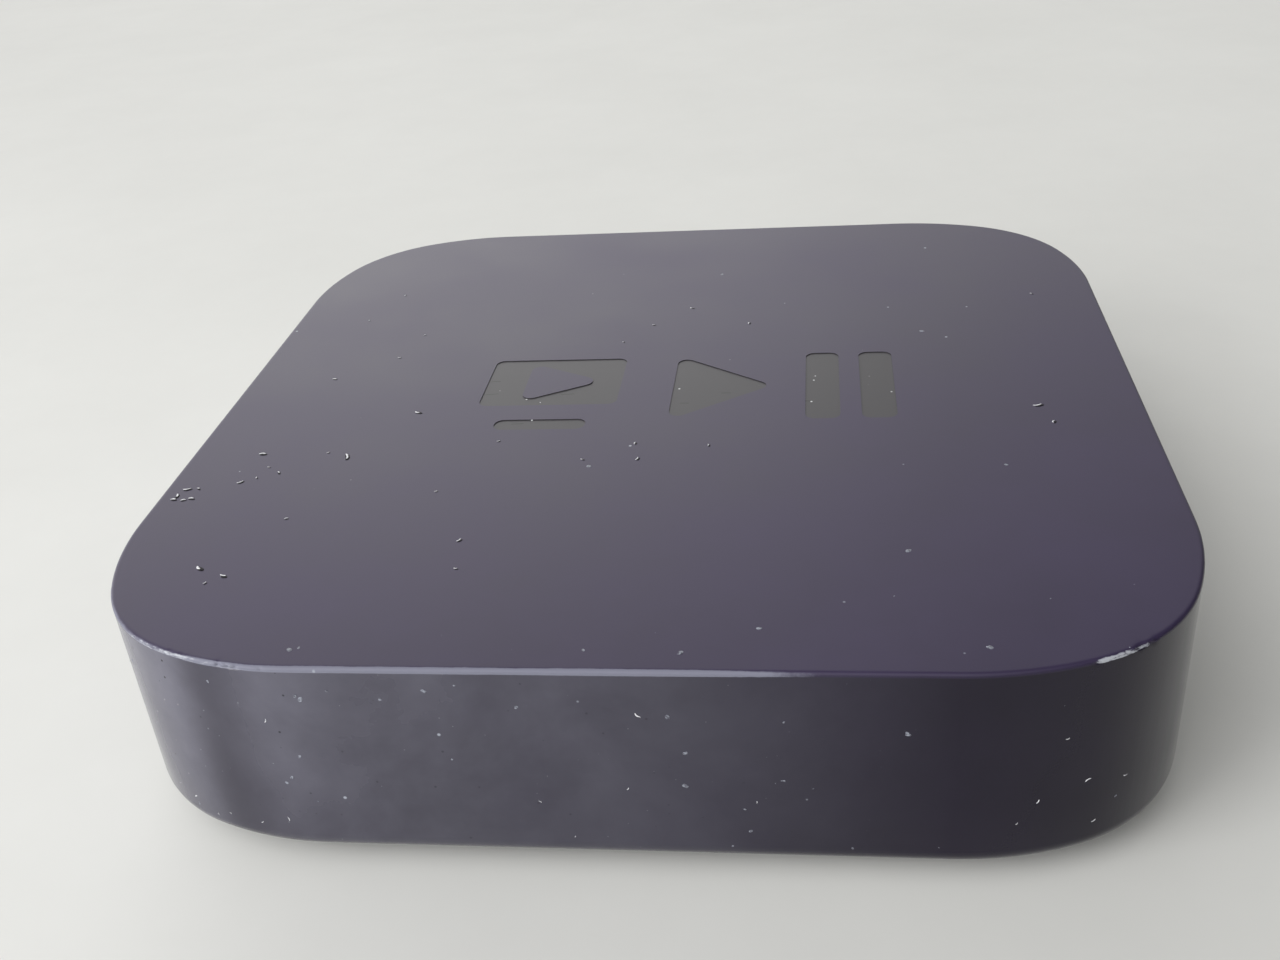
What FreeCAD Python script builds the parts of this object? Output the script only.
"""Streaming media player: a rounded-square set-top box with its boards, sockets and snap-on base.

Millimetres, +Z up. The origin is the centre of the rubber foot's underside. +Y is the side with the
sockets, -Y is the front, and X runs across the box.
"""

import FreeCAD
import Part

import math
import os

V = FreeCAD.Vector
X_AXIS = V(1, 0, 0)
Y_AXIS = V(0, 1, 0)
Z_AXIS = V(0, 0, 1)

# ---- the case ----
CASE_WIDTH = 98.0
CASE_HEIGHT = 23.0
HALF = CASE_WIDTH / 2
CORNER_LEAD_RADIUS = 29.0
CORNER_TIP_RADIUS = 16.7
CORNER_LEAD_ANGLE = 21.7
WALL = 2.2
ROOF = 2.0
ROOF_UNDER_Z = CASE_HEIGHT - ROOF
SKIRT_Z = 2.4
SKIRT_ROUND = 2.0
TOP_EDGE_ROUND = 0.35

COVER_GAP = 0.15
COVER_INSET = WALL + COVER_GAP
COVER_Z = 1.6
COVER_THICK = 2.2
COVER_TOP_Z = COVER_Z + COVER_THICK
COVER_CHAMFER = 0.8
FOOT_INSET = 9.0
FOOT_TOP_Z = COVER_Z + 0.6
FOOT_ROUND = 0.5

HOOK_WIDTH = 7.0
HOOK_THICK = 1.1
HOOK_INSET = COVER_INSET + 0.25
HOOK_TOP_Z = 6.6
BARB_REACH = 0.7
BARB_Z = 5.2
BARB_HEIGHT = 0.8
CATCH_DEPTH = 0.6
CATCH_GAP = 0.2
HOOK_SPOTS = (-18.0, 0.0, 18.0)
REAR_HOOK_SPOTS = (-12.2, 22.4)

# ---- boards ----
BOARD_INSET = 4.5
LOGIC_Z = 8.0
LOGIC_THICK = 1.2
LOGIC_TOP = LOGIC_Z + LOGIC_THICK
LOGIC_X = (-44.5, 9.5)
LOGIC_Y = (-28.0, 44.0)
LOGIC_POSTS = ((-40.0, -21.0), (5.5, -21.0), (-40.0, 20.0), (5.5, 29.0))
POWER_Z = 5.6
POWER_THICK = 1.6
POWER_TOP = POWER_Z + POWER_THICK
POWER_X = (12.0, 44.5)
POWER_Y = (-32.0, 44.0)
POWER_POSTS = ((16.0, -28.0), (38.0, -27.0), (40.5, 24.0))
POST_RADIUS = 2.6
POST_BORE = 0.85
POST_BORE_DEPTH = 7.0
BOARD_HOLE = 1.15
SCREW_SHANK = 0.8
SCREW_LENGTH = 6.0
SCREW_HEAD_RADIUS = 1.9
SCREW_HEAD_THICK = 1.2
SCREW_RECESS = 0.75

# ---- sockets in the rear wall ----
NOSE_Y = 48.5
PORT_GAP = 0.15
INLET_X = 22.4
INLET_Z = 12.7
HDMI_X = 3.1
OPTICAL_X = -12.15
ETHERNET_X = -25.6

PIN_SPACING = 8.6
PIN_RADIUS = 1.18
PIN_LENGTH = 8.5
INLET_LOBE = 3.9
INLET_RIM = 0.9
INLET_DEPTH = 11.0
INLET_BODY_Y = 34.0

HDMI_WIDTH = 15.0
HDMI_HEIGHT = 5.6
HDMI_CHAMFER = 1.6
HDMI_DEPTH = 11.5
METAL = 0.3

USB_WIDTH = 7.6
USB_HEIGHT = 2.6
USB_CHAMFER = 0.8
USB_DEPTH = 5.6

OPTICAL_WIDTH = 9.7
OPTICAL_HEIGHT = 10.6
OPTICAL_BACK_Y = 34.0
OPTICAL_CAVITY_WIDTH = 8.3
OPTICAL_CAVITY_Z = (10.1, 17.9)
OPTICAL_CAVITY_BACK = 38.7
OPTICAL_CHAMFER = 1.3
FERRULE_RADIUS = 1.65
FERRULE_BACK_Y = 35.0
SHUTTER_AXIS_Y = 47.2
SHUTTER_AXIS_Z = 18.45
SHUTTER_THICK = 0.7
SHUTTER_GAP = 0.15
SHUTTER_PIN = 0.3
SHUTTER_BORE = 0.35
SHUTTER_BARREL = 0.5
FLAP_RELIEF = 0.55
SPRING_BAY = 1.3

JACK_WIDTH = 15.9
JACK_Z = (6.6, 19.8)
JACK_FACE_Y = 45.9
JACK_DEPTH = 21.3
JACK_OPEN_WIDTH = 11.9
JACK_OPEN_Z = (9.6, 17.0)
JACK_LATCH_WIDTH = 6.2
JACK_LATCH_Z = 8.0
JACK_OPEN_DEPTH = 13.0
CONTACT_COUNT = 8
CONTACT_PITCH = 1.02
CONTACT_WIDTH = 0.42
CONTACT_TOP_Z = 18.0

# ---- larger parts on and over the boards ----
TRANSFORMER = (23.0, 9.0)
TRANSFORMER_SIZE = (17.0, 18.0, 12.4)
SHIELD_X = (-32.0, 1.0)
SHIELD_Y = (-16.0, 14.0)
SHIELD_HEIGHT = 2.2
SHIELD_METAL = 0.35
PAD_THICK = 1.0
SPREADER_X = (-35.5, 0.8)
SPREADER_Y = (-25.0, 23.0)
SPREADER_THICK = 1.0
SPREADER_LIP = 4.0

LEAD_Y = (11.5, 19.5)
POWER_LEAD_X = 12.5
LOGIC_LEAD_X = 6.4

INDICATOR_X = (14.0, 33.0)
INDICATOR_Y = (-44.4, -43.4)
INDICATOR_Z = (8.0, 18.0)
RIB_THICK = 1.6
FLEX_THICK = 0.2
FLEX_Z = 10.5
FLEX_WIDTH = 5.0
AERIAL_THICK = 0.25


# ---- small shape helpers ----
def block(x, y, z):
    """A box from its (low, high) pairs."""
    return Part.makeBox(x[1] - x[0], y[1] - y[0], z[1] - z[0], V(x[0], y[0], z[0]))


def around(centre, size):
    """The (low, high) pair of a length centred on a place."""
    return (centre - size / 2, centre + size / 2)


def rod(start, direction, radius, length):
    return Part.makeCylinder(radius, length, start, direction)


def fused(shapes):
    whole = shapes[0].multiFuse(shapes[1:]) if len(shapes) > 1 else shapes[0]
    return whole.removeSplitter()


def cut(shape, tools):
    for tool in tools:
        shape = shape.cut(tool)
    return shape


def polygon(points, depth):
    """A closed polygon pushed along a vector."""
    return Part.Face(Part.makePolygon([*points, points[0]])).extrude(depth)


def arc_edge(centre, radius, start, end, z):
    """A circular edge between two angles in degrees, at height z."""
    on_circle = [
        V(centre[0] + radius * math.cos(math.radians(a)), centre[1] + radius * math.sin(math.radians(a)), z)
        for a in (start, (start + end) / 2, end)
    ]
    return Part.Arc(*on_circle).toShape()


def outline(inset, z):
    """The case's plan outline, moved inwards by inset: four sides and four three-arc corners."""
    lead, tip, angle = CORNER_LEAD_RADIUS, CORNER_TIP_RADIUS, CORNER_LEAD_ANGLE
    sine, cosine = math.sin(math.radians(angle)), math.cos(math.radians(angle))
    reach = lead + (lead - tip) * (sine - cosine)
    first = (HALF - reach, lead - HALF)
    middle = (first[0] + (lead - tip) * sine, first[1] - (lead - tip) * cosine)
    last = (HALF - lead, reach - HALF)
    corner = [
        arc_edge(first, lead - inset, -90, angle - 90, z),
        arc_edge(middle, tip - inset, angle - 90, -angle, z),
        arc_edge(last, lead - inset, -angle, 0, z),
    ]
    edges = []
    for quarter in range(4):
        turned = [e.copy() for e in corner]
        for e in turned:
            e.rotate(V(0, 0, 0), Z_AXIS, 90 * quarter)
        edges += turned
    sides = []
    for quarter in range(4):
        low, high = V(HALF - inset, last[1], z), V(HALF - inset, -last[1], z)
        side = Part.makeLine(low, high)
        side.rotate(V(0, 0, 0), Z_AXIS, 90 * quarter)
        sides.append(side)
    ordered = []
    for quarter in range(4):
        ordered += edges[3 * quarter:3 * quarter + 3] + [sides[quarter]]
    return Part.Wire(ordered)


def slab(inset, low, high):
    """The case outline, moved inwards, as a solid between two heights."""
    return Part.Face(outline(inset, low)).extrude(V(0, 0, high - low))


def edges_at(shape, z, length_over=0.5):
    """The edges of a shape that lie wholly at one height."""
    flat = []
    for e in shape.Edges:
        box = e.BoundBox
        if abs(box.ZMin - z) < 1e-4 and abs(box.ZMax - z) < 1e-4 and e.Length > length_over:
            flat.append(e)
    return flat


def port_profile(centre, size, chamfer, y):
    """A socket's outline in a plane across Y, with its two lower corners cut off."""
    (left, right), (low, high) = around(centre[0], size[0]), around(centre[1], size[1])
    return [
        V(left, y, high),
        V(right, y, high),
        V(right, y, low + chamfer),
        V(right - chamfer, y, low),
        V(left + chamfer, y, low),
        V(left, y, low + chamfer),
    ]


def port_plug(centre, size, chamfer, front, back):
    return polygon(port_profile(centre, size, chamfer, back), V(0, front - back, 0))


def eight(radius, back, front):
    """The mains inlet's figure-of-eight outline as a solid along Y."""
    depth = front - back
    lobes = [rod(V(INLET_X + s * PIN_SPACING / 2, back, INLET_Z), Y_AXIS, radius, depth) for s in (-1, 1)]
    waist = block(around(INLET_X, PIN_SPACING), (back, front), around(INLET_Z, radius * 1.72))
    return fused([*lobes, waist])


def tube(points, radius, bend):
    """A round lead along straight runs joined by arcs of one bend radius."""
    edges = []
    at = points[0]
    for before, corner, after in zip(points, points[1:], points[2:]):
        arriving = (corner - before).normalize()
        leaving = (after - corner).normalize()
        half_turn = arriving.getAngle(leaving) / 2
        back_off = bend * math.tan(half_turn)
        start, end = corner - arriving * back_off, corner + leaving * back_off
        inward = (leaving - arriving).normalize()
        middle = corner + inward * (bend / math.cos(half_turn) - bend)
        edges += [Part.makeLine(at, start), Part.Arc(start, middle, end).toShape()]
        at = end
    edges.append(Part.makeLine(at, points[-1]))
    path = Part.Wire(edges)
    ring = Part.Wire(Part.makeCircle(radius, points[0], points[1] - points[0]))
    return path.makePipeShell([ring], True, True)


# ---- the case ----
def hook_frames():
    """(turn in degrees, place along the side) of every snap hook; a turn of 180 is the rear side."""
    frames = [(turn, spot) for turn in (0, 90, 270) for spot in HOOK_SPOTS]
    return frames + [(180, -spot) for spot in REAR_HOOK_SPOTS]


def on_side(shape, turn, spot):
    """A shape made at the middle of the front side, moved along it and turned to another side."""
    moved = shape.copy()
    moved.translate(V(spot, 0, 0))
    moved.rotate(V(0, 0, 0), Z_AXIS, turn)
    return moved


def catch_pocket():
    wide = around(0, HOOK_WIDTH + 2 * CATCH_GAP)
    return block(
        wide,
        (-HALF + WALL - CATCH_DEPTH, -HALF + WALL + 0.5),
        (BARB_Z - CATCH_GAP, BARB_Z + BARB_HEIGHT + CATCH_GAP),
    )


def screw_post(spot, low):
    x, y = spot
    return rod(V(x, y, low), Z_AXIS, POST_RADIUS, ROOF_UNDER_Z - low + 0.5)


def post_bore(spot, low):
    x, y = spot
    return rod(V(x, y, low - 0.1), Z_AXIS, POST_BORE, POST_BORE_DEPTH + 0.1)


def indicator_ribs():
    """Two slotted ribs inside the front wall that hold the indicator board upright."""
    ribs = []
    for edge, side in ((INDICATOR_X[0], -1), (INDICATOR_X[1], 1)):
        middle = edge + side * (RIB_THICK / 2 - 0.7)
        rib = block(around(middle, RIB_THICK), (-HALF + WALL - 0.4, -41.6), (7.0, ROOF_UNDER_Z + 0.5))
        slot_y = (INDICATOR_Y[0] - 0.1, INDICATOR_Y[1] + 0.1)
        slot = block((edge - 0.9, edge + 0.9), slot_y, (6.0, INDICATOR_Z[1] + 0.1))
        ribs.append(rib.cut(slot))
    return ribs


def port_openings():
    """The five openings through the rear wall, each a little larger than the socket in it."""
    back, front, gap = HALF - WALL - 1.5, HALF + 1, 2 * PORT_GAP
    jack_z = (JACK_LATCH_Z - 0.25, JACK_OPEN_Z[1] + 0.25)
    return [
        eight(INLET_LOBE + INLET_RIM + PORT_GAP, back, front),
        port_plug((HDMI_X, hdmi_middle()), (HDMI_WIDTH + gap, HDMI_HEIGHT + gap), HDMI_CHAMFER, front, back),
        port_plug((HDMI_X, usb_middle()), (USB_WIDTH + gap, USB_HEIGHT + gap), USB_CHAMFER, front, back),
        block(
            around(OPTICAL_X, OPTICAL_WIDTH + gap),
            (back, front),
            (LOGIC_TOP - PORT_GAP, LOGIC_TOP + OPTICAL_HEIGHT + PORT_GAP),
        ),
        block(around(ETHERNET_X, JACK_OPEN_WIDTH + 0.5), (back, front), jack_z),
    ]


def upper_housing():
    outer = slab(0, SKIRT_Z, CASE_HEIGHT)
    outer = outer.makeFillet(SKIRT_ROUND, edges_at(outer, SKIRT_Z))
    outer = outer.makeFillet(TOP_EDGE_ROUND, edges_at(outer, CASE_HEIGHT))
    shell = outer.cut(slab(WALL, SKIRT_Z - 1, ROOF_UNDER_Z))
    posts = [screw_post(s, LOGIC_TOP) for s in LOGIC_POSTS] + [screw_post(s, POWER_TOP) for s in POWER_POSTS]
    shell = fused([shell, *posts, *indicator_ribs()])
    bores = [post_bore(s, LOGIC_TOP) for s in LOGIC_POSTS] + [post_bore(s, POWER_TOP) for s in POWER_POSTS]
    catches = [on_side(catch_pocket(), turn, spot) for turn, spot in hook_frames()]
    return cut(shell, [*bores, *catches, *port_openings()])


def snap_hook():
    """One hook at the middle of the front side: a tongue with a sloped barb on its outer face."""
    outer_y = -HALF + HOOK_INSET
    tongue = block(around(0, HOOK_WIDTH), (outer_y, outer_y + HOOK_THICK), (COVER_TOP_Z - 0.3, HOOK_TOP_Z))
    tip_y = outer_y - BARB_REACH
    barb = polygon(
        [
            V(-HOOK_WIDTH / 2, outer_y, BARB_Z),
            V(-HOOK_WIDTH / 2, tip_y, BARB_Z),
            V(-HOOK_WIDTH / 2, tip_y, BARB_Z + 0.2),
            V(-HOOK_WIDTH / 2, outer_y, BARB_Z + BARB_HEIGHT),
        ],
        V(HOOK_WIDTH, 0, 0),
    )
    return fused([tongue, barb])


def bottom_cover():
    plate = slab(COVER_INSET, COVER_Z, COVER_TOP_Z)
    plate = plate.makeChamfer(COVER_CHAMFER, edges_at(plate, COVER_Z))
    seat = slab(FOOT_INSET - 0.1, COVER_Z - 1, FOOT_TOP_Z)
    plate = plate.cut(seat)
    hooks = [on_side(snap_hook(), turn, spot) for turn, spot in hook_frames()]
    return fused([plate, *hooks])


def foot_pad():
    pad = slab(FOOT_INSET, 0, FOOT_TOP_Z)
    return pad.makeFillet(FOOT_ROUND, edges_at(pad, 0))


# ---- boards and screws ----
def board(x, y, low, thick, holes):
    plate = slab(BOARD_INSET, low, low + thick).common(block(x, y, (low, low + thick)))
    drills = [rod(V(hx, hy, low - 1), Z_AXIS, BOARD_HOLE, thick + 2) for hx, hy in holes]
    return cut(plate, drills)


def jack_solder_gap():
    """The notch in the logic board's rear edge that the network jack sinks into."""
    jack_back = JACK_FACE_Y - JACK_DEPTH
    return block(around(ETHERNET_X, JACK_WIDTH + 0.4), (jack_back - 0.2, HALF), (LOGIC_Z - 1, LOGIC_TOP + 1))


def logic_board():
    plate = board(LOGIC_X, LOGIC_Y, LOGIC_Z, LOGIC_THICK, LOGIC_POSTS)
    return plate.cut(jack_solder_gap())


def power_board():
    plate = board(POWER_X, POWER_Y, POWER_Z, POWER_THICK, POWER_POSTS)
    isolation_slot = block((26.0, 33.0), (-14.6, -12.6), (POWER_Z - 1, POWER_TOP + 1))
    return plate.cut(isolation_slot)


def power_insulator():
    """A thin plastic tray between the mains board and the bottom cover."""
    low, high, thick = COVER_TOP_Z + 0.2, POWER_Z + 1.0, 0.5
    tray = slab(BOARD_INSET - 0.55, low, high).common(
        block((POWER_X[0] - 1.2, HALF), (POWER_Y[0] - 1.2, 43.0), (low, high))
    )
    hollow = slab(BOARD_INSET - 0.15, low + thick, high + 1).common(
        block((POWER_X[0] - 0.7, HALF), (POWER_Y[0] - 0.7, 44.0), (low + thick, high + 1))
    )
    tray = tray.cut(hollow)
    screw_ways = [rod(V(x, y, low - 1), Z_AXIS, SCREW_HEAD_RADIUS + 0.3, 3) for x, y in POWER_POSTS]
    return cut(tray, screw_ways)


def screw(spot, board_low):
    """A pan-head screw driven upwards: head under the board, shank in the post."""
    x, y = spot
    head = rod(V(x, y, board_low - SCREW_HEAD_THICK), Z_AXIS, SCREW_HEAD_RADIUS, SCREW_HEAD_THICK)
    head = head.makeFillet(0.4, edges_at(head, board_low - SCREW_HEAD_THICK))
    shank = rod(V(x, y, board_low - 0.1), Z_AXIS, SCREW_SHANK, SCREW_LENGTH)
    shank = shank.makeChamfer(0.3, edges_at(shank, board_low - 0.1 + SCREW_LENGTH))
    points = [
        V(
            x + SCREW_RECESS * math.cos(math.radians(60 * k)),
            y + SCREW_RECESS * math.sin(math.radians(60 * k)),
            board_low - SCREW_HEAD_THICK - 0.1,
        )
        for k in range(6)
    ]
    return fused([head, shank]).cut(polygon(points, V(0, 0, 0.8)))


# ---- parts on the logic board ----
def on_board(centre, size, height, low=LOGIC_TOP):
    """A plain component body standing on a board."""
    return block(around(centre[0], size[0]), around(centre[1], size[1]), (low, low + height))


def gull_legs(centre, size, count, low=LOGIC_TOP):
    """Flat leads along the two long sides of a chip."""
    legs = []
    pitch = size[1] / count
    for side in (-1, 1):
        for k in range(count):
            y = centre[1] - size[1] / 2 + pitch * (k + 0.5)
            x = centre[0] + side * (size[0] / 2 + 0.45)
            legs.append(block(around(x, 0.9), around(y, pitch * 0.45), (low, low + 0.25)))
    return legs


def shield_frame():
    high = LOGIC_TOP + SHIELD_HEIGHT - SHIELD_METAL
    wall = block(SHIELD_X, SHIELD_Y, (LOGIC_TOP, high))
    inner_x = (SHIELD_X[0] + SHIELD_METAL, SHIELD_X[1] - SHIELD_METAL)
    inner_y = (SHIELD_Y[0] + SHIELD_METAL, SHIELD_Y[1] - SHIELD_METAL)
    ring = wall.cut(block(inner_x, inner_y, (LOGIC_TOP - 1, high - SHIELD_METAL)))
    windows = [
        block((inner_x[0] + 1, around(-15, 1)[0]), (inner_y[0] + 1, inner_y[1] - 1), (high - 1, high + 1)),
        block((around(-15, 1)[1], inner_x[1] - 1), (inner_y[0] + 1, inner_y[1] - 1), (high - 1, high + 1)),
    ]
    return cut(ring, windows)


def shield_lid():
    frame_top = LOGIC_TOP + SHIELD_HEIGHT - SHIELD_METAL
    grow = 0.05
    x = (SHIELD_X[0] - grow - SHIELD_METAL, SHIELD_X[1] + grow + SHIELD_METAL)
    y = (SHIELD_Y[0] - grow - SHIELD_METAL, SHIELD_Y[1] + grow + SHIELD_METAL)
    lid = block(x, y, (frame_top - 1.2, frame_top + SHIELD_METAL))
    inside = block(
        (SHIELD_X[0] - grow, SHIELD_X[1] + grow), (SHIELD_Y[0] - grow, SHIELD_Y[1] + grow), (0, frame_top)
    )
    lid = lid.cut(inside)
    dimples = [
        rod(V(SHIELD_X[0] + 4 + 5 * k, SHIELD_Y[0] + 1.6, frame_top - 0.1), Z_AXIS, 0.4, 1) for k in range(6)
    ]
    return cut(lid, dimples)


def thermal_pad():
    top = LOGIC_TOP + SHIELD_HEIGHT
    return block((-29.5, -3.0), (-9.0, 11.0), (top, top + PAD_THICK))


def heat_spreader():
    """A pressed plate over the shield with upturned edges and a hole round each nearby post."""
    low = LOGIC_TOP + SHIELD_HEIGHT + PAD_THICK
    tray = block(SPREADER_X, SPREADER_Y, (low, low + SPREADER_LIP))
    tray = tray.makeFillet(1.2, [e for e in tray.Edges if abs(e.BoundBox.ZLength - SPREADER_LIP) < 1e-6])
    shrink = SPREADER_THICK
    inner = block(
        (SPREADER_X[0] + shrink, SPREADER_X[1] - shrink),
        (SPREADER_Y[0] + shrink, SPREADER_Y[1] - shrink),
        (low + SPREADER_THICK, low + SPREADER_LIP + 1),
    )
    vents = [block(around(-30 + 5.2 * k, 2.4), around(18.0, 5), (low - 1, low + 2)) for k in range(6)]
    return cut(tray, [inner, *vents])


def processor_chips():
    return [on_board((-22.0, 2.0), (14, 14), 1.1), on_board((-7.0, 4.0), (10, 12), 1.0)]


def memory_chip():
    body = on_board((-7.0, -9.0), (8, 10), 0.9)
    return [body, *gull_legs((-7.0, -9.0), (8, 10), 12)]


def wireless_module():
    base = on_board((-39.0, -2.0), (9.4, 14), 0.6)
    can = on_board((-39.0, -3.0), (8.6, 11), 1.3, LOGIC_TOP + 0.6)
    sockets = [rod(V(-41.0 + 4 * k, 4.0, LOGIC_TOP + 0.6), Z_AXIS, 0.9, 0.7) for k in range(2)]
    return [base, can, *sockets]


def small_parts():
    """Chip capacitors and resistors beside the shield and along the front edge, in two rows."""
    row = [on_board((-34.0 + 3.2 * k, -24.6), (1.6, 0.8), 0.7) for k in range(7)]
    column = [on_board((5.2, -14.5 + 2.4 * k), (1.0, 2.0), 0.6) for k in range(6)]
    return row + column


def inductors():
    coils = []
    for k in range(3):
        body = on_board((-13.0 + 6.2 * k, 19.0), (4.6, 4.6), 2.0)
        coils.append(body.makeFillet(0.8, [e for e in body.Edges if abs(e.BoundBox.ZLength - 2.0) < 1e-6]))
    return coils


def ethernet_transformer():
    body = on_board((-28.0, 19.0), (9.0, 7.6), 2.1)
    return [body, *gull_legs((-28.0, 19.0), (9.0, 7.6), 8)]


# ---- sockets ----
def hdmi_middle():
    return LOGIC_TOP + 0.1 + HDMI_HEIGHT / 2


def usb_middle():
    return LOGIC_Z - 0.1 - USB_HEIGHT / 2


def port_shell(centre, size, chamfer, depth):
    """A folded metal socket shell, open at the front and closed at the back."""
    back = NOSE_Y - depth
    outer = port_plug(centre, size, chamfer, NOSE_Y, back)
    inner_size = (size[0] - 2 * METAL, size[1] - 2 * METAL)
    inner = port_plug(centre, inner_size, chamfer * 0.85, NOSE_Y + 1, back + METAL)
    return outer.cut(inner)


def port_tongue(centre, width, thick, depth, body):
    """The plastic block at the back of a socket and the contact tongue that stands out of it."""
    back = NOSE_Y - depth + METAL
    size, chamfer = body
    base = port_plug(centre, size, chamfer, back + 2.2, back)
    blade = block(around(centre[0], width), (back + 2.0, NOSE_Y - 1.2), around(centre[1], thick))
    return fused([base, blade])


def hdmi_shell():
    return port_shell((HDMI_X, hdmi_middle()), (HDMI_WIDTH, HDMI_HEIGHT), HDMI_CHAMFER, HDMI_DEPTH)


def hdmi_tongue():
    size = (HDMI_WIDTH - 2 * METAL - 0.1, HDMI_HEIGHT - 2 * METAL - 0.1)
    centre = (HDMI_X, hdmi_middle())
    return port_tongue(centre, 11.2, 1.0, HDMI_DEPTH, (size, HDMI_CHAMFER * 0.85))


def hdmi_contacts():
    """Nineteen flat contacts: ten on the tongue's upper face and nine on its lower face."""
    contacts = []
    y, z = (NOSE_Y - 8.9, NOSE_Y - 1.6), hdmi_middle()
    for count, face in ((10, (z + 0.5, z + 0.6)), (9, (z - 0.6, z - 0.5))):
        for k in range(count):
            x = HDMI_X + k - (count - 1) / 2
            contacts.append(block(around(x, 0.42), y, face))
    return contacts


def usb_shell():
    return port_shell((HDMI_X, usb_middle()), (USB_WIDTH, USB_HEIGHT), USB_CHAMFER, USB_DEPTH)


def usb_tongue():
    size = (USB_WIDTH - 2 * METAL - 0.1, USB_HEIGHT - 2 * METAL - 0.1)
    return port_tongue((HDMI_X, usb_middle() + 0.25), 3.8, 0.5, USB_DEPTH, ((size[0], size[1] - 0.5), 0.4))


def shutter_spring_bay():
    """The recess at one end of the hinge that holds the shutter's spring."""
    left = OPTICAL_X - OPTICAL_CAVITY_WIDTH / 2
    y = (SHUTTER_AXIS_Y - 1.0, SHUTTER_AXIS_Y + 0.7)
    return block((left, left + SPRING_BAY), y, (SHUTTER_AXIS_Z - 0.75, SHUTTER_AXIS_Z + 0.8))


def optical_housing():
    low, high = LOGIC_TOP, LOGIC_TOP + OPTICAL_HEIGHT
    body = block(around(OPTICAL_X, OPTICAL_WIDTH), (OPTICAL_BACK_Y, NOSE_Y), (low, high))
    cavity_z = OPTICAL_CAVITY_Z
    cavity = port_plug(
        (OPTICAL_X, sum(cavity_z) / 2),
        (OPTICAL_CAVITY_WIDTH, cavity_z[1] - cavity_z[0]),
        OPTICAL_CHAMFER,
        NOSE_Y + 1,
        OPTICAL_CAVITY_BACK,
    )
    wide = around(OPTICAL_X, OPTICAL_CAVITY_WIDTH)
    flap_space = block(
        wide,
        (OPTICAL_CAVITY_BACK, SHUTTER_AXIS_Y + FLAP_RELIEF),
        (cavity_z[1] - 0.1, SHUTTER_AXIS_Z + FLAP_RELIEF),
    )
    ferrule_length = OPTICAL_CAVITY_BACK - FERRULE_BACK_Y + 1
    ferrule = rod(V(OPTICAL_X, FERRULE_BACK_Y, ferrule_z()), Y_AXIS, FERRULE_RADIUS, ferrule_length)
    lens_way = rod(V(OPTICAL_X, OPTICAL_BACK_Y - 1, ferrule_z()), Y_AXIS, 1.2, 3)
    return cut(body, [cavity, flap_space, shutter_spring_bay(), ferrule, shutter_pin(), lens_way])


def ferrule_z():
    return sum(OPTICAL_CAVITY_Z) / 2


def optical_emitter():
    back = OPTICAL_BACK_Y
    body = block(around(OPTICAL_X, 8.4), (back - 2.6, back), (LOGIC_TOP, 17.2))
    lens = rod(V(OPTICAL_X, back - 0.2, ferrule_z()), Y_AXIS, 1.15, 0.9)
    return fused([body, lens])


def shutter_span():
    """(low, high) along X of the flap, which leaves the spring's bay free."""
    wide = around(OPTICAL_X, OPTICAL_CAVITY_WIDTH)
    return (wide[0] + SHUTTER_GAP, wide[1] - SHUTTER_GAP)


def optical_shutter():
    """The flap: a plate with cut lower corners hung from a bored barrel, notched for its spring."""
    left, right = shutter_span()
    low = OPTICAL_CAVITY_Z[0] + SHUTTER_GAP
    back_y = SHUTTER_AXIS_Y - SHUTTER_THICK / 2
    corner = OPTICAL_CHAMFER
    plate = polygon(
        [
            V(left, back_y, SHUTTER_AXIS_Z),
            V(right, back_y, SHUTTER_AXIS_Z),
            V(right, back_y, low + corner),
            V(right - corner, back_y, low),
            V(left + corner, back_y, low),
            V(left, back_y, low + corner),
        ],
        V(0, SHUTTER_THICK, 0),
    )
    barrel = rod(V(left, SHUTTER_AXIS_Y, SHUTTER_AXIS_Z), X_AXIS, SHUTTER_BARREL, right - left)
    bore = rod(V(left - 1, SHUTTER_AXIS_Y, SHUTTER_AXIS_Z), X_AXIS, SHUTTER_BORE, right - left + 2)
    notch_z = (SHUTTER_AXIS_Z - 1.2, SHUTTER_AXIS_Z + 1)
    notch = block((left - 1, left + SPRING_BAY), around(SHUTTER_AXIS_Y, 3), notch_z)
    return cut(fused([plate, barrel]), [bore, notch])


def shutter_pin():
    return rod(
        V(OPTICAL_X - OPTICAL_WIDTH / 2 + 0.2, SHUTTER_AXIS_Y, SHUTTER_AXIS_Z),
        X_AXIS,
        SHUTTER_PIN,
        OPTICAL_WIDTH - 0.4,
    )


def shutter_spring():
    """The torsion spring: coils round the pin, one leg up to the roof and one into the flap's notch."""
    wire, coil, pitch, turns = 0.07, 0.42, 0.2, 4
    left = shutter_span()[0] + 0.15
    helix = Part.makeHelix(pitch, pitch * turns, coil)
    helix.rotate(V(0, 0, 0), Y_AXIS, 90)
    helix.translate(V(left, SHUTTER_AXIS_Y, SHUTTER_AXIS_Z))
    first = helix.Edges[0]
    start, heading = first.valueAt(first.FirstParameter), first.tangentAt(first.FirstParameter)
    ring = Part.Wire(Part.makeCircle(wire, start, heading))
    coils = Part.Wire(helix.Edges).makePipeShell([ring], True, True)
    inner_y = SHUTTER_AXIS_Y - coil
    roof_leg = rod(V(left + wire, inner_y, SHUTTER_AXIS_Z), Z_AXIS, wire, FLAP_RELIEF - 0.05)
    end = left + pitch * turns
    flap_leg = rod(V(end, inner_y - 0.02, SHUTTER_AXIS_Z - 0.8), Z_AXIS, wire, 0.8)
    return fused([coils, roof_leg, flap_leg])


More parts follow.
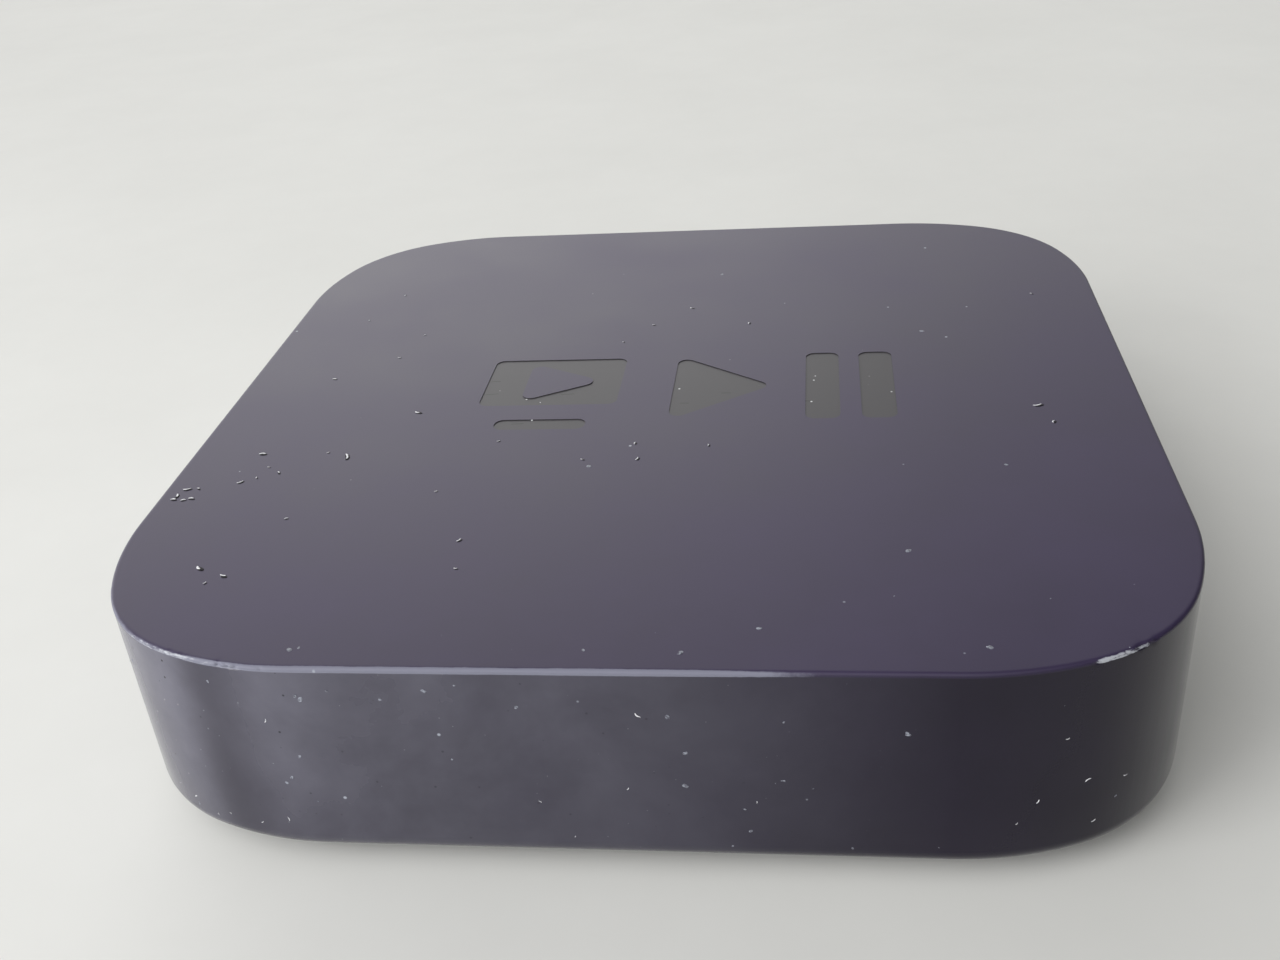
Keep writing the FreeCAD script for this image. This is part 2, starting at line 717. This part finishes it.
def ethernet_opening(y_back, y_front):
    """The jack's mouth: the plug's square opening over its narrower latch slot."""
    plug = block(around(ETHERNET_X, JACK_OPEN_WIDTH), (y_back, y_front), JACK_OPEN_Z)
    latch_z = (JACK_LATCH_Z, JACK_OPEN_Z[0] + 0.1)
    latch = block(around(ETHERNET_X, JACK_LATCH_WIDTH), (y_back, y_front), latch_z)
    return fused([plug, latch])


def contact_places():
    """The jack contacts' places along X."""
    middle = (CONTACT_COUNT - 1) / 2
    return [ETHERNET_X + (k - middle) * CONTACT_PITCH for k in range(CONTACT_COUNT)]


def ethernet_housing():
    inner = METAL + 0.02
    body = block(
        around(ETHERNET_X, JACK_WIDTH - 2 * inner),
        (JACK_FACE_Y - JACK_DEPTH + inner, JACK_FACE_Y - 0.4),
        (JACK_Z[0] + inner, JACK_Z[1] - inner),
    )
    mouth = ethernet_opening(JACK_FACE_Y - JACK_OPEN_DEPTH, JACK_FACE_Y + 1)
    slot_y = (JACK_FACE_Y - JACK_OPEN_DEPTH - 2, JACK_FACE_Y - 3)
    slot_z = (JACK_OPEN_Z[1] - 0.1, CONTACT_TOP_Z + 0.2)
    slots = [block(around(x, CONTACT_WIDTH + 0.1), slot_y, slot_z) for x in contact_places()]
    return cut(body, [mouth, *slots])


def ethernet_shield():
    outer = block(around(ETHERNET_X, JACK_WIDTH), (JACK_FACE_Y - JACK_DEPTH, JACK_FACE_Y), JACK_Z)
    inner = block(
        around(ETHERNET_X, JACK_WIDTH - 2 * METAL),
        (JACK_FACE_Y - JACK_DEPTH + METAL, JACK_FACE_Y - METAL),
        (JACK_Z[0] + METAL, JACK_Z[1] - METAL),
    )
    mouth = ethernet_opening(JACK_FACE_Y - 2, JACK_FACE_Y + 1)
    return cut(outer, [inner, mouth])


def ethernet_contacts():
    """Eight sprung wires that lie in the roof's slots and slope down into the mouth."""
    contacts = []
    back = JACK_FACE_Y - JACK_OPEN_DEPTH - 1.8
    for place in contact_places():
        x = place - CONTACT_WIDTH / 2
        profile = [
            V(x, back, CONTACT_TOP_Z),
            V(x, JACK_FACE_Y - 4.0, CONTACT_TOP_Z),
            V(x, JACK_FACE_Y - 3.4, CONTACT_TOP_Z - 0.5),
            V(x, JACK_FACE_Y - 9.6, CONTACT_TOP_Z - 3.4),
            V(x, JACK_FACE_Y - 9.8, CONTACT_TOP_Z - 3.05),
            V(x, JACK_FACE_Y - 4.4, CONTACT_TOP_Z - 0.4),
            V(x, back, CONTACT_TOP_Z - 0.4),
        ]
        contacts.append(polygon(profile, V(CONTACT_WIDTH, 0, 0)))
    return contacts


def power_inlet():
    rim = INLET_LOBE + INLET_RIM
    nose = eight(rim, HALF - WALL - 1.5, NOSE_Y)
    body = block(around(INLET_X, 2 * rim + PIN_SPACING), (INLET_BODY_Y, HALF - WALL - 1.2), (POWER_TOP, 18.2))
    cavity = eight(INLET_LOBE, NOSE_Y - INLET_DEPTH, NOSE_Y + 1)
    pin_ways = [
        rod(V(INLET_X + s * PIN_SPACING / 2, INLET_BODY_Y - 1, INLET_Z), Y_AXIS, PIN_RADIUS, INLET_DEPTH)
        for s in (-1, 1)
    ]
    return cut(fused([nose, body]), [cavity, *pin_ways])


def inlet_pins():
    pins = []
    for side in (-1, 1):
        start = V(INLET_X + side * PIN_SPACING / 2, INLET_BODY_Y - 0.6, INLET_Z)
        pin = rod(start, Y_AXIS, PIN_RADIUS, PIN_LENGTH + NOSE_Y - INLET_DEPTH - INLET_BODY_Y + 0.6)
        front = max(e.BoundBox.YMax for e in pin.Edges)
        pins.append(pin.makeFillet(0.8, [e for e in pin.Edges if e.BoundBox.YMin > front - 0.01]))
    return pins


# ---- the mains board's parts ----
def fuse():
    x, y, z = 36.0, 27.5, POWER_TOP + 1.9
    glass = rod(V(x, y + 2, z), Y_AXIS, 1.5, 6.5)
    caps = [rod(V(x, end, z), Y_AXIS, 1.9, 2) for end in (y, y + 8.5)]
    return [glass, *caps]


def line_choke():
    """The input choke: a wound toroid standing on edge."""
    ring, section = 3.4, 1.5
    return Part.makeTorus(ring, section, V(36.0, 15.0, POWER_TOP + ring + section), Y_AXIS)


def bridge_rectifier():
    body = on_board((39.0, 6.0), (6.4, 8.0), 2.6, POWER_TOP)
    return [body, *gull_legs((39.0, 6.0), (6.4, 8.0), 2, POWER_TOP)]


def bulk_capacitors():
    """Two electrolytic capacitors lying on the board, each with a pressed groove near its sealed end."""
    radius, length, groove_depth = 4.1, 21.0, 0.4
    z = POWER_TOP + radius
    cans = []
    for x in (31.6, 40.4):
        can = rod(V(x, -23.0, z), Y_AXIS, radius, length)
        groove = rod(V(x, -5.0, z), Y_AXIS, radius + 1, 0.8)
        groove = groove.cut(rod(V(x, -6.0, z), Y_AXIS, radius - groove_depth, 3))
        cans.append(can.cut(groove))
    return cans


def transformer_core():
    """Two E-shaped ferrite halves round the winding, as one ring with a centre leg."""
    (cx, cy), (w, d, h) = TRANSFORMER, TRANSFORMER_SIZE
    low = POWER_TOP + 0.6
    frame = block(around(cx, w), around(cy, 6.4), (low, low + h))
    windows = [
        block(around(cx + s * w * 0.28, w * 0.24), around(cy, d), (low + 2.2, low + h - 2.2)) for s in (-1, 1)
    ]
    return cut(frame, windows)


def transformer_winding():
    """The bobbin with its taped winding, which passes through both windows of the core."""
    (cx, cy), (w, d, h) = TRANSFORMER, TRANSFORMER_SIZE
    low = POWER_TOP + 0.6
    flange = block(around(cx, w * 0.78), around(cy, d), (low + 2.4, low + h - 2.4))
    flange = flange.makeFillet(2.0, [e for e in flange.Edges if e.BoundBox.ZLength > 5])
    legs = [block(around(cx + s * w * 0.45, w * 0.3), around(cy, 6.8), (low, low + h)) for s in (-1, 1)]
    middle = block(around(cx, w * 0.34), around(cy, 6.8), (low, low + h))
    return cut(flange, [*legs, middle])


def transformer_feet():
    (cx, cy), (w, d, _) = TRANSFORMER, TRANSFORMER_SIZE
    z = (POWER_TOP, POWER_TOP + 3.0)
    return [block(around(cx, w * 0.7), around(cy + s * (d / 2 - 1.6), 3.0), z) for s in (-1, 1)]


def output_capacitors():
    cans = []
    for y in (-8.5, -16.5):
        can = rod(V(18.4, y, POWER_TOP), Z_AXIS, 3.15, 11)
        cans.append(can.makeFillet(0.5, [e for e in can.Edges if e.BoundBox.ZMin > POWER_TOP + 10.9]))
    return cans


def lead_sockets():
    """The two headers joined by the output lead, one on each board."""
    on_power = block((POWER_LEAD_X, 14.2), LEAD_Y, (POWER_TOP, POWER_TOP + 4.6))
    on_logic = block((2.4, LOGIC_LEAD_X), LEAD_Y, (LOGIC_TOP, LOGIC_TOP + 2.8))
    return [on_power, on_logic]


def output_lead():
    """Four insulated wires that arch from the mains board's header to the logic board's header."""
    wires = []
    pitch = (LEAD_Y[1] - LEAD_Y[0]) / 4
    for k in range(4):
        y = LEAD_Y[0] + pitch * (k + 0.5)
        points = [
            V(POWER_LEAD_X, y, POWER_TOP + 3.4),
            V(POWER_LEAD_X - 1.6, y, POWER_TOP + 3.4),
            V(POWER_LEAD_X - 2.9, y, LOGIC_TOP + 3.4),
            V(LOGIC_LEAD_X + 1.4, y, LOGIC_TOP + 1.8),
            V(LOGIC_LEAD_X, y, LOGIC_TOP + 1.8),
        ]
        wires.append(tube(points, 0.5, 0.9))
    return wires


# ---- indicator board and aerials ----
def indicator_board():
    return block(INDICATOR_X, INDICATOR_Y, INDICATOR_Z)


def status_light():
    return block(around(28.5, 1.6), (INDICATOR_Y[0] - 0.7, INDICATOR_Y[0]), around(12.0, 1.0))


def infrared_receiver():
    body = block(around(20.5, 5.4), (INDICATOR_Y[0] - 1.1, INDICATOR_Y[0]), around(12.6, 4.6))
    window = rod(V(20.5, INDICATOR_Y[0] - 1.6, 12.6), Y_AXIS, 1.5, 0.6)
    return fused([body, window])


def flex_cable():
    """A flat printed cable from the indicator board, round a corner, to the logic board."""
    z = (FLEX_Z, FLEX_Z + FLEX_THICK)
    out = block(around(20.0, FLEX_WIDTH), (-41.2, -35.0), z)
    across = block((-5.5, 22.5), (-39.0, -34.0), z)
    back = block(around(-3.0, FLEX_WIDTH), (-35.0, -26.2), z)
    return fused([out, across, back])


def flex_sockets():
    """The two slim sockets that grip the ends of the flat cable."""
    front = block(around(20.0, 7.0), (INDICATOR_Y[1], -40.9), (FLEX_Z - 0.8, FLEX_Z + 1.2))
    front = front.cut(block(around(20.0, FLEX_WIDTH + 0.1), (-41.25, -40), (FLEX_Z, FLEX_Z + FLEX_THICK)))
    rear = block(around(-3.0, 7.0), (-27.4, -23.4), (LOGIC_TOP, LOGIC_TOP + 2.2))
    rear = rear.cut(block(around(-3.0, FLEX_WIDTH + 0.1), (-28, -26.15), (FLEX_Z, FLEX_Z + FLEX_THICK)))
    return [front, rear]


def aerials():
    """Two flexible aerial patches stuck to the inside of the left wall."""
    left = -HALF + WALL
    return [block((left, left + AERIAL_THICK), span, (11.0, 19.0)) for span in ((-20.0, -4.0), (3.0, 19.0))]


def aerial_leads():
    """Thin coaxial leads from the aerial patches to the wireless module."""
    start_x = -HALF + WALL + AERIAL_THICK
    front = [
        V(start_x, -8.0, 14.0),
        V(-44.3, -8.0, 14.0),
        V(-43.2, 2.0, 13.4),
        V(-41.0, 4.0, 12.6),
        V(-41.0, 4.0, LOGIC_TOP + 1.3),
    ]
    rear = [
        V(start_x, 8.0, 14.0),
        V(-43.6, 8.0, 14.0),
        V(-37.0, 7.4, 13.6),
        V(-37.0, 4.0, 12.8),
        V(-37.0, 4.0, LOGIC_TOP + 1.3),
    ]
    return [tube(route, 0.4, 0.6) for route in (front, rear)]


def nodes():
    """Every sub-part, by the name that a person would use for it."""
    return {
        "upper_housing": upper_housing(),
        "bottom_cover": bottom_cover(),
        "foot_pad": foot_pad(),
        "logic_board": logic_board(),
        "logic_board_screws": [screw(s, LOGIC_Z) for s in LOGIC_POSTS],
        "processor_chips": processor_chips(),
        "memory_chip": memory_chip(),
        "shield_frame": shield_frame(),
        "shield_lid": shield_lid(),
        "thermal_pad": thermal_pad(),
        "heat_spreader": heat_spreader(),
        "wireless_module": wireless_module(),
        "aerials": aerials(),
        "aerial_leads": aerial_leads(),
        "chip_components": small_parts(),
        "power_inductors": inductors(),
        "hdmi_shell": hdmi_shell(),
        "hdmi_tongue": hdmi_tongue(),
        "hdmi_contacts": hdmi_contacts(),
        "service_port_shell": usb_shell(),
        "service_port_tongue": usb_tongue(),
        "optical_housing": optical_housing(),
        "optical_emitter": optical_emitter(),
        "optical_shutter": optical_shutter(),
        "shutter_pin": shutter_pin(),
        "shutter_spring": shutter_spring(),
        "ethernet_housing": ethernet_housing(),
        "ethernet_shield": ethernet_shield(),
        "ethernet_contacts": ethernet_contacts(),
        "ethernet_transformer": ethernet_transformer(),
        "power_board": power_board(),
        "power_board_screws": [screw(s, POWER_Z) for s in POWER_POSTS],
        "power_insulator": power_insulator(),
        "power_inlet": power_inlet(),
        "power_inlet_pins": inlet_pins(),
        "fuse": fuse(),
        "line_choke": line_choke(),
        "bridge_rectifier": bridge_rectifier(),
        "bulk_capacitors": bulk_capacitors(),
        "transformer_core": transformer_core(),
        "transformer_winding": transformer_winding(),
        "transformer_feet": transformer_feet(),
        "output_capacitors": output_capacitors(),
        "lead_sockets": lead_sockets(),
        "output_lead": output_lead(),
        "indicator_board": indicator_board(),
        "status_light": status_light(),
        "infrared_receiver": infrared_receiver(),
        "flex_cable": flex_cable(),
        "flex_sockets": flex_sockets(),
    }


def main():
    os.makedirs("parts", exist_ok=True)
    for name, made in nodes().items():
        shape = Part.makeCompound(made) if isinstance(made, list) else made
        print(f"{name}: {len(shape.Solids)} solids, {shape.Volume:.1f} mm3, valid {shape.isValid()}")
        shape.exportStep(f"parts/{name}.step")


main()
